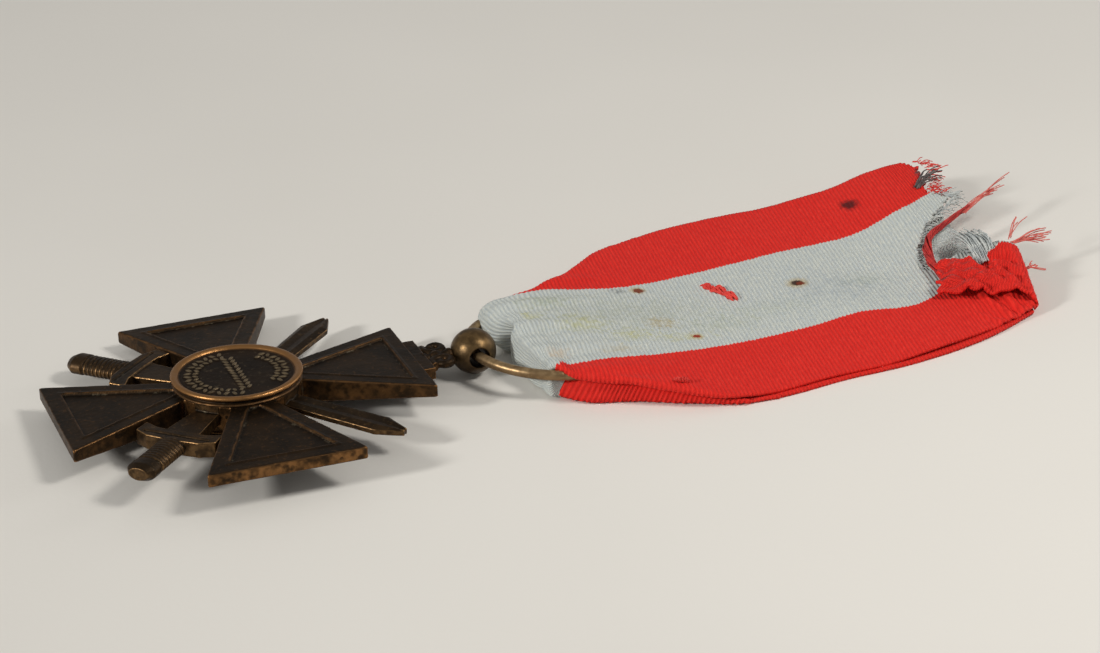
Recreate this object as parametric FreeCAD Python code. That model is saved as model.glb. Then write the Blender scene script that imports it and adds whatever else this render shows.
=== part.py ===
import math
import os

import FreeCAD
import Part
from FreeCAD import Placement, Rotation, Vector

# Bronze award cross lying on its underside, with a ring and a folded ribbon.
# Millimetres. +Z is up from the table and +X runs from the cross to the ribbon's cut end.
# The metal is drawn in its own frame first: centre of the cross at the origin, mid-plane at
# z = 0, hanger along +X. place_metal() then leans it as it lies.

# ---- Driving dimensions -------------------------------------------------------------------
CENTRE = Vector(-34.05, -2.45, 2.66)   # centre of the cross, from the middle of the whole medal
LEAN_DEG = 3.72                       # the near arm is lifted, the far rim touches the table

ARM_REACH = 18.5                      # centre to the outer end of an arm
ARM_END_HALF = 8.0                    # half width of an arm at its outer end
ARM_FLARE = 0.456                     # half width gained per mm of reach
ARM_END_HALF_THICK = 0.65
ARM_SLOPE = 0.051                     # half thickness lost per mm of reach
ARM_ROOT = 4.6                        # inside the hub, where the arms start
ARM_EDGE_ROUND = 0.14
BORDER = 1.45                         # plain band round an arm's sunken field
FIELD_DEPTH = 0.22
BEAD_WIDTH = 0.30                     # fine raised line on the band's inner edge
BEAD_HEIGHT = 0.08
FIELD_START = 5.48                    # the sunken field begins under the medallion

HUB_RADIUS = 6.38
HUB_HALF_THICK = 1.40
SLOT_FLOOR = 0.6                      # the swords lie in open channels this far below mid-plane
DISC_RADIUS = 6.65                    # medallion rim
DISC_FIELD_RADIUS = 5.80
DISC_FIELD_DEPTH = 0.35
DISC_HEIGHT = {"reverse": 1.05, "obverse": 0.85}
RELIEF_BED = 0.1                      # relief starts this far inside the field, so that it fuses
STAR_RADIUS = 3.3
STAR_WAIST = 0.42                     # inner corners of the star, as a share of its radius
BEADS = 30

SWORD_DEG = 46.0                      # each sword from the X axis
BLADE_ROOT_HALF = 1.35
BLADE_SHOULDER_HALF = 1.55
BLADE_SHOULDER = 16.4
BLADE_TIP = 19.0
BLADE_RIDGE = 0.55                    # height of the ridges above mid-plane
BLADE_EDGE = 0.25
BLADE_GROOVE = 0.2
SLOT_FIT = 0.01                       # gap between a sword and the side of its channel
LAP_HEIGHT = 0.35                     # the two swords meet here, above mid-plane
BLADE_DROOP_DEG = 4.5                 # the near blade is bent towards the table
GUARD_NEAR = 11.3
GUARD_FAR = 13.3
GUARD_HALF_SPAN = 4.3
GUARD_HALF_THICK = 0.8
RICASSO_HALF_WIDTH = 1.9
RICASSO_HALF_THICK = 0.6
GRIP_END = 17.6
GRIP_HALF_WIDTH = 1.55
GRIP_FLATTEN = 0.60
GRIP_RIBS = 9
POMMEL_END = 19.7

TAB_LENGTH = 1.15
TAB_HALF = 3.8
TAB_HALF_THICK = 0.65
SCROLL_RADIUS = 1.62
SCROLL_FLATTEN = 0.72
NECK_HALF_WIDTH = 0.75
NECK_HALF_THICK = 0.55
BALL_X = 24.9
BALL_RADIUS = 2.36
BALL_HOLE_RADIUS = 1.0
RING_RADIUS = 8.7                     # to the middle of the wire
WIRE_RADIUS = 0.55
RING_FAR_HEIGHT = 1.35                # middle of the wire above the table, inside the fold

PLY = 0.45                            # thickness of the woven ribbon
CREASE_OUTER = 29.3                   # left end of the fold, from the centre of the cross
CREASE_INNER = 29.8
BEND_START = 48.0                     # the ribbon flexes between these two stations
BEND_END = 52.0

TURNED_END_MIDDLE = (82.2, -0.4, 3.05)  # the turned-over corner, from the centre of the cross
TURNED_END_THICK = 1.3
STITCH_MIDDLE = (56.3, 7.6, 2.2)
STITCH_SIZE = (4.6, 0.8, 0.3)
STITCH_DEG = -38.0


# ---- Small helpers ------------------------------------------------------------------------
def wire_through(points):
    return Part.makePolygon([Vector(*p) for p in points] + [Vector(*points[0])])


def straight_loft(sections):
    return Part.makeLoft([wire_through(s) for s in sections], True, True)


def prism(points, height):
    face = Part.Face(wire_through(points))
    return face.extrude(Vector(0, 0, height))


def turned(profile):
    """A solid of revolution about Z from (radius, z) points."""
    face = Part.Face(wire_through([(r, 0, z) for r, z in profile]))
    return face.revolve(Vector(0, 0, 0), Vector(0, 0, 1), 360)


def about_z(shape, degrees):
    copy = shape.copy()
    copy.rotate(Vector(0, 0, 0), Vector(0, 0, 1), degrees)
    return copy


def flipped(shape):
    """The same shape on the underside."""
    copy = shape.copy()
    copy.rotate(Vector(0, 0, 0), Vector(1, 0, 0), 180)
    return copy


def flattened(shape, share):
    """The shape squeezed in Z to a share of its thickness."""
    squeeze = FreeCAD.Matrix()
    squeeze.scale(1, 1, share)
    return shape.transformGeometry(squeeze)


def from_cross(x, y, z):
    """A place on the ribbon, whose stations are measured from the cross's centre."""
    return Vector(CENTRE.x + x, CENTRE.y + y, z)


# ---- Cross --------------------------------------------------------------------------------
def arm_half_width(x):
    return ARM_END_HALF - ARM_FLARE * (ARM_REACH - x)


def arm_half_thick(x):
    return ARM_END_HALF_THICK + ARM_SLOPE * (ARM_REACH - x)


def arm_section(x, inset, low, high):
    half = arm_half_width(x) - inset
    return [(x, -half, low), (x, half, low), (x, half, high), (x, -half, high)]


def arm_layer(inset, raise_low, raise_high):
    """A slab that follows an arm's sloping top face, drawn in from its border by inset."""
    side_inset = inset * math.sqrt(1 + ARM_FLARE ** 2)
    sections = []
    for x in (FIELD_START, ARM_REACH - inset):
        top = arm_half_thick(x)
        sections.append(arm_section(x, side_inset, top + raise_low, top + raise_high))
    return straight_loft(sections)


def arm():
    body = straight_loft([
        arm_section(x, 0, -arm_half_thick(x), arm_half_thick(x)) for x in (ARM_ROOT, ARM_REACH)
    ])
    body = body.makeFillet(ARM_EDGE_ROUND, body.Edges)
    bead = arm_layer(BORDER, -0.4, BEAD_HEIGHT)
    sunk = arm_layer(BORDER + BEAD_WIDTH, -FIELD_DEPTH, 1.0)
    for side in (bead, flipped(bead)):
        body = body.fuse(side)
    for side in (sunk, flipped(sunk)):
        body = body.cut(side)
    return body


def sword_slot(degrees):
    """The open channel through the hub that a sword lies in."""
    slot = Part.makeBox(
        2 * HUB_RADIUS + 2, 2 * BLADE_ROOT_HALF, 2 * HUB_HALF_THICK,
        Vector(-HUB_RADIUS - 1, -BLADE_ROOT_HALF, -SLOT_FLOOR),
    )
    return about_z(slot, degrees)


def cross_plate():
    plate = Part.makeCylinder(HUB_RADIUS, 2 * HUB_HALF_THICK, Vector(0, 0, -HUB_HALF_THICK))
    one_arm = arm()
    plate = plate.multiFuse([about_z(one_arm, 90 * i) for i in range(4)])
    for side in (SWORD_DEG, -SWORD_DEG):
        plate = plate.cut(sword_slot(side))
    return plate.removeSplitter()


# ---- Swords -------------------------------------------------------------------------------
def blade_section(s, half, ridge):
    """Two ridges with a groove between them, bevelled to the edges, the same on both faces."""
    edge = min(BLADE_EDGE, ridge)
    upper = [(half, edge), (0.55 * half, ridge), (0.0, ridge - BLADE_GROOVE),
             (-0.55 * half, ridge), (-half, edge)]
    lower = [(p, -z) for p, z in reversed(upper)]
    return [(s, p, z) for p, z in upper + lower]


def blade(droop):
    body = straight_loft([
        blade_section(HUB_RADIUS - 0.25, BLADE_ROOT_HALF - SLOT_FIT, BLADE_RIDGE),
        blade_section(HUB_RADIUS + 0.1, BLADE_ROOT_HALF - SLOT_FIT, BLADE_RIDGE),
        blade_section(BLADE_SHOULDER, BLADE_SHOULDER_HALF, BLADE_RIDGE),
        blade_section(BLADE_TIP, 0.35, 0.35),
    ])
    body.rotate(Vector(HUB_RADIUS, 0, 0), Vector(0, 1, 0), droop)
    return body


def quillon_guard():
    """A bar with rounded, forward-curving ends and a groove along its top and underside."""
    inner = [(-GUARD_NEAR, 0), (-GUARD_NEAR + 0.1, 2.6), (-GUARD_NEAR + 0.75, GUARD_HALF_SPAN)]
    outer = [(-GUARD_FAR + 0.9, GUARD_HALF_SPAN + 0.1), (-GUARD_FAR + 0.15, 2.9), (-GUARD_FAR, 0)]
    half = inner + outer
    points = half + [(s, -p) for s, p in reversed(half[1:-1])]
    bar = prism([(s, p, -GUARD_HALF_THICK) for s, p in points], 2 * GUARD_HALF_THICK)
    groove_width, groove_depth, groove_margin = 0.4, 0.15, 0.6
    groove = Part.makeBox(groove_width, 2 * (GUARD_HALF_SPAN - groove_margin), 0.25, Vector(
        -(GUARD_NEAR + GUARD_FAR + groove_width) / 2, groove_margin - GUARD_HALF_SPAN,
        GUARD_HALF_THICK - groove_depth))
    return bar.cut(groove).cut(flipped(groove))


def grip_and_pommel():
    """A wound grip and a rounded pommel, turned round and then flattened."""
    pitch = (GRIP_END - GUARD_FAR) / GRIP_RIBS
    profile = [(0, GUARD_FAR - 0.2), (GRIP_HALF_WIDTH, GUARD_FAR - 0.2)]
    for i in range(GRIP_RIBS):
        start = GUARD_FAR + i * pitch
        profile.append((GRIP_HALF_WIDTH - 0.18, start + 0.1 * pitch))
        profile.append((GRIP_HALF_WIDTH, start + 0.35 * pitch))
        profile.append((GRIP_HALF_WIDTH, start + 0.75 * pitch))
    profile += [(GRIP_HALF_WIDTH - 0.25, GRIP_END), (GRIP_HALF_WIDTH + 0.05, GRIP_END + 0.3),
                (GRIP_HALF_WIDTH + 0.05, POMMEL_END - 0.7), (GRIP_HALF_WIDTH - 0.5, POMMEL_END),
                (0, POMMEL_END)]
    body = turned(profile)
    body.rotate(Vector(0, 0, 0), Vector(0, 1, 0), -90)
    return flattened(body, GRIP_FLATTEN)


def sword(degrees, droop, lap_is_low):
    """One sword. The two cross in the hub with a half lap."""
    core = Part.makeBox(2 * HUB_RADIUS, 2 * BLADE_ROOT_HALF, HUB_HALF_THICK + SLOT_FLOOR,
                        Vector(-HUB_RADIUS, -BLADE_ROOT_HALF, -SLOT_FLOOR))
    hub = Part.makeCylinder(HUB_RADIUS, 2 * HUB_HALF_THICK, Vector(0, 0, -HUB_HALF_THICK))
    core = core.common(hub)
    thick = RICASSO_HALF_THICK
    ricasso = straight_loft([
        [(s, -half, -thick), (s, half, -thick), (s, half, thick), (s, -half, thick)]
        for s, half in ((-HUB_RADIUS + 0.25, BLADE_ROOT_HALF - SLOT_FIT),
                        (-HUB_RADIUS - 0.1, BLADE_ROOT_HALF - SLOT_FIT),
                        (-GUARD_NEAR - 0.3, RICASSO_HALF_WIDTH))
    ])
    body = core.multiFuse([blade(droop), ricasso, quillon_guard(), grip_and_pommel()])
    body = about_z(body, degrees)
    lap_depth = 4
    other = Part.makeBox(4 * HUB_RADIUS, 2 * BLADE_ROOT_HALF, lap_depth,
                         Vector(-2 * HUB_RADIUS, -BLADE_ROOT_HALF, LAP_HEIGHT))
    if not lap_is_low:
        other.translate(Vector(0, 0, -lap_depth))
    other = about_z(other, -degrees).common(hub)
    return body.cut(other)


# ---- Medallions ---------------------------------------------------------------------------
def disc_blank(height):
    """A turned disc: thin ledge, undercut groove, rounded rim and a sunken flat field."""
    base = HUB_HALF_THICK
    top = base + height
    field = top - DISC_FIELD_DEPTH
    rim = DISC_RADIUS
    return turned([
        (0, base), (rim - 0.22, base), (rim - 0.12, base + 0.08), (rim - 0.12, base + 0.2),
        (rim - 0.5, base + 0.32), (rim - 0.5, top - 0.6), (rim - 0.08, top - 0.46),
        (rim, top - 0.3), (rim - 0.1, top - 0.1), (rim - 0.35, top), (rim - 0.62, top),
        (DISC_FIELD_RADIUS, top - 0.12), (DISC_FIELD_RADIUS, field), (0, field),
    ]), field


def lozenge(length, width, height):
    return prism([(length / 2, 0, 0), (0, width / 2, 0), (-length / 2, 0, 0),
                  (0, -width / 2, 0)], height)


def reverse_medallion():
    """Leaves stand round part of the field, and a bar of lozenges crosses its middle."""
    disc, field = disc_blank(DISC_HEIGHT["reverse"])
    relief = []
    leaf_ring = DISC_FIELD_RADIUS - 1.0
    for first, last, count in ((105, 255, 17), (-38, 38, 9)):
        for i in range(count):
            leaf = lozenge(1.25, 0.5, 0.3)
            leaf.translate(Vector(leaf_ring, 0, field - RELIEF_BED))
            relief.append(about_z(leaf, first + (last - first) * i / (count - 1)))
    for i in range(-4, 5):
        stud = lozenge(1.3, 0.62, 0.3)
        stud.translate(Vector(0, 0.8 * i, field - RELIEF_BED))
        relief.append(stud)
    return disc.multiFuse(relief).removeSplitter()


def obverse_medallion():
    """A plain five-pointed star inside a ring of beads, on the underside."""
    disc, field = disc_blank(DISC_HEIGHT["obverse"])
    star = []
    for i in range(10):
        radius = STAR_RADIUS * (STAR_WAIST if i % 2 else 1)
        angle = math.radians(36 * i)
        star.append((radius * math.cos(angle), radius * math.sin(angle), field - RELIEF_BED))
    relief = [prism(star, 0.32)]
    for i in range(BEADS):
        bead = Part.makeCylinder(0.22, 0.28, Vector(DISC_FIELD_RADIUS - 0.75, 0, field - RELIEF_BED))
        relief.append(about_z(bead, 360 * i / BEADS))
    return flipped(disc.multiFuse(relief).removeSplitter())


# ---- Hanger, ball and ring ----------------------------------------------------------------
def hanger():
    """A step on the arm's end that carries two small scrolls and the ball's neck."""
    tab = Part.makeBox(TAB_LENGTH, 2 * TAB_HALF, 2 * TAB_HALF_THICK,
                       Vector(ARM_REACH, -TAB_HALF, -TAB_HALF_THICK))
    tab = tab.makeFillet(0.12, tab.Edges)
    tab_end = ARM_REACH + TAB_LENGTH
    start = tab_end - 0.2
    neck = Part.makeBox(BALL_X - BALL_RADIUS - start, 2 * NECK_HALF_WIDTH, 2 * NECK_HALF_THICK,
                        Vector(start, -NECK_HALF_WIDTH, -NECK_HALF_THICK))
    pieces = [neck]
    for side in (1, -1):
        scroll = flattened(Part.makeSphere(SCROLL_RADIUS), SCROLL_FLATTEN)
        scroll.translate(Vector(tab_end + SCROLL_RADIUS - 0.1, side * (SCROLL_RADIUS + 0.12), 0))
        pieces.append(scroll)
    ball = Part.makeSphere(BALL_RADIUS, Vector(BALL_X, 0, 0))
    return tab.multiFuse(pieces).cut(ball)


def suspension_ball():
    ball = Part.makeSphere(BALL_RADIUS, Vector(BALL_X, 0, 0))
    hole = Part.makeCylinder(BALL_HOLE_RADIUS, 6, Vector(BALL_X, -3, 0), Vector(0, 1, 0))
    return ball.cut(hole)


def ring_slope():
    """Angle at which the ring drops from the ball's hole to the lower ply."""
    drop = (CENTRE.z - RING_FAR_HEIGHT) / math.cos(math.radians(LEAN_DEG))
    return math.degrees(math.asin(drop / (2 * RING_RADIUS)))


def suspension_ring():
    ring = Part.makeTorus(RING_RADIUS, WIRE_RADIUS, Vector(BALL_X + RING_RADIUS, 0, 0))
    ring.rotate(Vector(BALL_X, 0, 0), Vector(0, 1, 0), ring_slope())
    return ring


def place_metal(shape):
    """Leans a metal piece as it lies, and puts the cross's centre where it belongs."""
    copy = shape.copy()
    lean = Rotation(Vector(1, 0, 0), -LEAN_DEG)
    copy.Placement = Placement(CENTRE, lean).multiply(copy.Placement)
    return copy


# ---- Ribbon -------------------------------------------------------------------------------
# Each station: x from the cross's centre, then (y, underside height) of the upper ply's near
# and far edges, then the underside height of the lower ply's near and far edges.
FOLD_STATIONS = [
    (CREASE_INNER, (-6.2, 3.5), (6.5, 4.1), 0.0, 0.0),
    (33.5, (-9.3, 3.4), (8.4, 3.9), 0.0, 0.0),
    (38.0, (-11.6, 2.75), (10.8, 3.5), 0.0, 0.0),
    (43.0, (-14.0, 1.9), (14.6, 3.1), 0.0, 0.0),
    (BEND_START, (-15.9, 1.0), (17.8, 2.6), 0.0, 0.0),
]
BEND_STATIONS = [FOLD_STATIONS[-1], (BEND_END, (-16.0, 0.6), (19.6, 2.3), 0.0, 0.0)]
TAIL_STATIONS = [
    BEND_STATIONS[-1],
    (60.0, (-14.9, 0.55), (21.3, 1.9), 0.0, 0.2),
    (67.0, (-14.4, 0.55), (22.0, 1.9), 0.0, 0.3),
    (73.0, (-13.2, 0.8), (22.3, 2.3), 0.1, 0.6),
    (79.0, (-11.2, 1.3), (23.4, 3.3), 0.5, 1.4),
    (86.0, (-8.2, 1.9), (22.4, 4.5), 1.1, 2.4),
]


def ply_solid(stations, upper):
    sections = []
    for x, near, far, near_low, far_low in stations:
        near_z, far_z = (near[1], far[1]) if upper else (near_low, far_low)
        corners = [(x, near[0], near_z), (x, far[0], far_z),
                   (x, far[0], far_z + PLY), (x, near[0], near_z + PLY)]
        sections.append(corners)
    body = straight_loft(sections)
    body.translate(from_cross(0, 0, 0))
    return body


def ribbon_fold():
    """The gathered loop of ribbon that the ring lies in: crease, upper ply and lower ply."""
    x, near, far = FOLD_STATIONS[0][:3]
    crease = straight_loft([
        [(at, near[0] + trim, trim), (at, far[0] - trim, trim),
         (at, far[0] - trim, far[1] + PLY - trim), (at, near[0] + trim, near[1] + PLY - trim)]
        for at, trim in ((CREASE_OUTER, 0.3), (x, 0.0))
    ])
    crease.translate(from_cross(0, 0, 0))
    return crease.multiFuse([ply_solid(FOLD_STATIONS, True), ply_solid(FOLD_STATIONS, False)])


def turned_end():
    """The torn corner of the ribbon, crumpled and turned over on top of the upper ply."""
    outline = [(-4.0, -6.9, 0), (3.4, -6.0, 0), (4.3, -1.5, 0), (3.8, 6.4, 0), (-1.6, 6.0, 0),
               (-4.2, -2.0, 0)]
    body = prism(outline, TURNED_END_THICK)
    body = body.makeFillet(0.35, body.Edges)
    body.rotate(Vector(0, 0, 0), Vector(1, 0, 0), 4.4)
    body.rotate(Vector(0, 0, 0), Vector(0, 1, 0), -5.0)
    body.translate(from_cross(*TURNED_END_MIDDLE))
    return body


def tack_stitch():
    """A short bar of sewing thread on the pale middle of the ribbon."""
    length, width, thick = STITCH_SIZE
    bar = Part.makeBox(length, width, thick, Vector(-length / 2, -width / 2, 0))
    bar = bar.makeFillet(0.1, bar.Edges)
    bar.rotate(Vector(0, 0, 0), Vector(0, 0, 1), STITCH_DEG)
    bar.rotate(Vector(0, 0, 0), Vector(1, 0, 0), 2.2)
    bar.translate(from_cross(*STITCH_MIDDLE))
    return bar


# ---- Nodes --------------------------------------------------------------------------------
def main():
    metal = {
        "cross_plate": cross_plate(),
        "sword_left": sword(SWORD_DEG, 0.0, True),
        "sword_right": sword(-SWORD_DEG, BLADE_DROOP_DEG, False),
        "reverse_medallion": reverse_medallion(),
        "obverse_medallion": obverse_medallion(),
        "scroll_hanger": hanger(),
        "suspension_ball": suspension_ball(),
        "suspension_ring": suspension_ring(),
    }
    nodes = {name: place_metal(shape) for name, shape in metal.items()}
    nodes["ribbon_fold"] = ribbon_fold()
    nodes["ribbon_bend_upper"] = ply_solid(BEND_STATIONS, True)
    nodes["ribbon_bend_lower"] = ply_solid(BEND_STATIONS, False)
    nodes["ribbon_tail_upper"] = ply_solid(TAIL_STATIONS, True)
    nodes["ribbon_tail_lower"] = ply_solid(TAIL_STATIONS, False)
    nodes["ribbon_torn_end"] = turned_end()
    nodes["tack_stitch"] = tack_stitch()

    os.makedirs("parts", exist_ok=True)
    for name, shape in nodes.items():
        shape.exportStep(os.path.join("parts", name + ".step"))

    box = Part.makeCompound(list(nodes.values())).BoundBox
    print("box x %.2f %.2f  y %.2f %.2f  z %.2f %.2f" %
          (box.XMin, box.XMax, box.YMin, box.YMax, box.ZMin, box.ZMax))
    for name, shape in nodes.items():
        print("%-18s solids %d valid %s volume %.2f" %
              (name, len(shape.Solids), shape.isValid(), shape.Volume))
    print("ring slope %.3f" % ring_slope())


main()
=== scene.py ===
import math
import random

import bmesh
import bpy
import numpy as np
from mathutils import Matrix, Vector, noise


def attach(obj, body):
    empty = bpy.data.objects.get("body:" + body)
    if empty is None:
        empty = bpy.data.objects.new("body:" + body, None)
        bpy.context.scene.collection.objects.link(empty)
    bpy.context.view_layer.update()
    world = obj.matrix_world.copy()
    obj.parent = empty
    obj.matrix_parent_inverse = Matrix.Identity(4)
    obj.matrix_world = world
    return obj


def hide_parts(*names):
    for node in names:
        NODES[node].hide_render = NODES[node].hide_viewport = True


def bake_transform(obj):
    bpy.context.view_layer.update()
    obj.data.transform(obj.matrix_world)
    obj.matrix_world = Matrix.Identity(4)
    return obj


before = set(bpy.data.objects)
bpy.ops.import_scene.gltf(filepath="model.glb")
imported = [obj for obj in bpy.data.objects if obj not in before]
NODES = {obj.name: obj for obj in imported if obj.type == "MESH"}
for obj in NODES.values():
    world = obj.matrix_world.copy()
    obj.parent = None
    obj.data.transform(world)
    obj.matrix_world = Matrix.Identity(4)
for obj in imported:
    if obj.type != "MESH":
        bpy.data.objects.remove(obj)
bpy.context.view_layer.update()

MM = 0.001

# ---- The medal's own frame: centre of the cross at the origin, mid-plane at z = 0, millimetres
CENTRE = (-34.05, -2.45, 2.66)
LEAN = math.radians(3.72)
ARM_REACH = 18.5
HUB_HALF_THICK = 1.4
BALL_X = 24.9
BALL_RADIUS = 2.36
BALL_HOLE = 1.0
RING_RADIUS = 8.7
RING_SLOPE = math.radians(4.327)
METAL = Matrix.Translation(CENTRE) @ Matrix.Rotation(-LEAN, 4, "X")
RIBBON = Matrix.Translation((CENTRE[0], CENTRE[1], 0))


# ---- Small helpers
def srgb(r, g, b, a=1.0):
    """A colour given as 0 to 255 on screen, as linear values."""
    out = []
    for c in (r, g, b):
        c /= 255
        out.append(c / 12.92 if c <= 0.04045 else ((c + 0.055) / 1.055) ** 2.4)
    return (*out, a)


def smooth(t):
    t = np.clip(t, 0, 1)
    return t * t * (3 - 2 * t)


def curve_through(x, xs, ys):
    """Cubic Hermite curve through the stations, flat beyond them."""
    xs, ys = np.asarray(xs, float), np.asarray(ys, float)
    slopes = np.gradient(ys, xs)
    x = np.clip(x, xs[0], xs[-1])
    i = np.clip(np.searchsorted(xs, x) - 1, 0, len(xs) - 2)
    h = xs[i + 1] - xs[i]
    t = (x - xs[i]) / h
    return ((2 * t**3 - 3 * t**2 + 1) * ys[i] + (t**3 - 2 * t**2 + t) * h * slopes[i]
            + (3 * t**2 - 2 * t**3) * ys[i + 1] + (t**3 - t**2) * h * slopes[i + 1])


def mesh_object(name, points, faces, smooth_shade=True):
    mesh = bpy.data.meshes.new(name)
    mesh.from_pydata([tuple(p) for p in points], [], [tuple(f) for f in faces])
    mesh.update()
    if smooth_shade:
        mesh.polygons.foreach_set("use_smooth", [True] * len(mesh.polygons))
    obj = bpy.data.objects.new(name, mesh)
    bpy.context.scene.collection.objects.link(obj)
    return obj


def coords(mesh):
    co = np.zeros(len(mesh.vertices) * 3, np.float32)
    mesh.vertices.foreach_get("co", co)
    return co.reshape(-1, 3).astype(float)


def normals(mesh):
    n = np.zeros(len(mesh.vertices) * 3, np.float32)
    mesh.vertices.foreach_get("normal", n)
    return n.reshape(-1, 3).astype(float)


def set_coords(mesh, co):
    mesh.vertices.foreach_set("co", co.astype(np.float32).ravel())
    mesh.update()


def vector_attribute(mesh, name, values):
    attribute = mesh.attributes.new(name, "FLOAT_VECTOR", "POINT")
    attribute.data.foreach_set("vector", np.asarray(values, np.float32).ravel())


def write_form(obj, convex, hollow, rub_and_light):
    """What the bronze reads: how convex a point is, how hollow, and how much of the bright rubbed colour it
    gets, which is real wear on most parts and painted light on the cross's near flanks, the ball's top and
    the ring's upper side.
    """
    vector_attribute(obj.data, "form", np.stack([convex, hollow, rub_and_light], 1))


def neighbour_mean(mesh):
    """A function that averages each vertex's neighbours."""
    edges = np.zeros(len(mesh.edges) * 2, np.int32)
    mesh.edges.foreach_get("vertices", edges)
    a, b = edges.reshape(-1, 2).T
    n = len(mesh.vertices)
    count = np.maximum(np.bincount(a, minlength=n) + np.bincount(b, minlength=n), 1)

    def mean(values):
        out = np.empty_like(values)
        for k in range(values.shape[1]):
            out[:, k] = (np.bincount(a, values[b, k], n) + np.bincount(b, values[a, k], n)) / count
        return out

    return mean


def final(obj, place, body, slot_name, material, *replaced):
    """From millimetres in its own frame to metres in the row frame, then onto its body."""
    obj.data.transform(Matrix.Scale(MM, 4) @ place)
    obj.data.update()
    obj.data.materials.clear()
    obj.data.materials.append(material)
    if body:
        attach(obj, body)
    if replaced:
        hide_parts(*replaced)
    return obj


# ---- Materials
class Nodes:
    """A short way to write a node material."""

    def __init__(self, name):
        self.material = bpy.data.materials.new(name)
        self.material.use_nodes = True
        self.tree = self.material.node_tree
        self.tree.nodes.clear()
        self.out = self.new("ShaderNodeOutputMaterial")
        self.shader = self.new("ShaderNodeBsdfPrincipled")
        self.link(self.shader.outputs[0], self.out.inputs["Surface"])

    def new(self, kind, **values):
        node = self.tree.nodes.new(kind)
        for key, value in values.items():
            setattr(node, key, value)
        return node

    def link(self, a, b):
        self.tree.links.new(a, b)

    def feed(self, socket, value):
        if hasattr(value, "links"):
            self.link(value, socket)
        else:
            socket.default_value = value

    def math(self, operation, a, b=0.0, clamp=False):
        node = self.new("ShaderNodeMath", operation=operation, use_clamp=clamp)
        self.feed(node.inputs[0], a)
        self.feed(node.inputs[1], b)
        return node.outputs[0]

    def band(self, value, low, high):
        """0 below low, 1 above high, smooth between."""
        node = self.new("ShaderNodeMapRange", interpolation_type="SMOOTHSTEP")
        self.feed(node.inputs["Value"], value)
        node.inputs["From Min"].default_value = low
        node.inputs["From Max"].default_value = high
        return node.outputs[0]

    def mix(self, factor, a, b):
        node = self.new("ShaderNodeMix", data_type="RGBA")
        self.feed(node.inputs[0], factor)
        self.feed(node.inputs[6], a)
        self.feed(node.inputs[7], b)
        return node.outputs[2]

    def lerp(self, factor, a, b):
        node = self.new("ShaderNodeMix", data_type="FLOAT")
        self.feed(node.inputs[0], factor)
        self.feed(node.inputs[2], a)
        self.feed(node.inputs[3], b)
        return node.outputs[0]

    def noise(self, vector, scale, detail=3.0, rough=0.55):
        node = self.new("ShaderNodeTexNoise")
        self.link(vector, node.inputs["Vector"])
        node.inputs["Scale"].default_value = scale
        node.inputs["Detail"].default_value = detail
        node.inputs["Roughness"].default_value = rough
        return node.outputs["Fac"]

    def bump(self, height, strength, distance, normal=None):
        node = self.new("ShaderNodeBump")
        node.inputs["Strength"].default_value = strength
        node.inputs["Distance"].default_value = distance
        self.link(height, node.inputs["Height"])
        if normal is not None:
            self.link(normal, node.inputs["Normal"])
        return node.outputs[0]

    def attribute(self, name):
        node = self.new("ShaderNodeAttribute", attribute_name=name)
        split = self.new("ShaderNodeSeparateXYZ")
        self.link(node.outputs["Vector"], split.inputs[0])
        return node.outputs["Vector"], split.outputs


def bronze(name, dark, mid, bright, rubbed, residue=0.0, roughness=(0.5, 0.34)):
    """Old bronze: dark patina on the faces, warm metal where hands have rubbed it, near-black in the
    hollows and a little pale residue in the corners. The attribute "form" holds how convex a point is,
    how hollow, and how much of the bright rubbed colour it gets: real wear, and on some parts painted
    light."""
    m = Nodes(name)
    place = m.new("ShaderNodeTexCoord").outputs["Object"]
    _, form = m.attribute("form")
    convex, hollow, rub_and_light = form[0], form[1], form[2]
    blotch = m.noise(place, 260.0, 4.0, 0.6)
    grain = m.noise(place, 2300.0, 3.0, 0.6)
    speck = m.noise(place, 1300.0, 2.0, 0.5)

    base = m.mix(m.band(blotch, 0.36, 0.66), dark, mid)
    base = m.mix(m.math("MULTIPLY", m.band(grain, 0.55, 0.75), 0.24), base, bright)
    rub_edge = m.band(m.math("ADD", convex, m.math("MULTIPLY", m.math("SUBTRACT", speck, 0.5), 0.9)),
                      0.30, 0.85)
    flank = m.math("MULTIPLY", rub_and_light, m.band(m.noise(place, 620.0, 3.0, 0.6), 0.22, 0.62))
    chip = m.math("MULTIPLY", m.band(m.noise(place, 700.0, 2.0, 0.5), 0.655, 0.68), 0.92)
    flank = m.math("MULTIPLY", flank, m.math("SUBTRACT", 1.0, chip))
    # The bright rubbed colour goes on worn edges and where the third part of "form" says. On the cross's
    # near flanks, the ball's top and the ring's upper side that third part is painted light.
    wear_and_light = m.math("MAXIMUM", m.math("MULTIPLY", rub_edge, rubbed), flank, True)
    warm = m.mix(m.band(speck, 0.35, 0.7), bright, mid)
    base = m.mix(wear_and_light, base, m.mix(m.band(convex, 0.2, 0.9), warm, bright))
    # Darkened towards near-black as much as a point is hollow.
    hollow_dark = m.band(hollow, 0.15, 0.9)
    base = m.mix(m.math("MULTIPLY", hollow_dark, 0.75), base, srgb(20, 16, 12))
    if residue:
        spots = m.band(m.noise(place, 1500.0, 4.0, 0.7), 0.52, 0.68)
        amount = m.math("MULTIPLY", m.math("MULTIPLY", spots, m.band(hollow, 0.25, 0.7)), residue)
        base = m.mix(amount, base, srgb(116, 106, 86))
    m.link(base, m.shader.inputs["Base Color"])
    m.shader.inputs["Metallic"].default_value = 0.85
    m.link(m.lerp(wear_and_light, roughness[0], roughness[1]), m.shader.inputs["Roughness"])
    fine = m.bump(grain, 0.35, 0.00004)
    pits = m.bump(m.noise(place, 700.0, 5.0, 0.65), 0.35, 0.00012, fine)
    m.link(pits, m.shader.inputs["Normal"])
    return m.material


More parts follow.
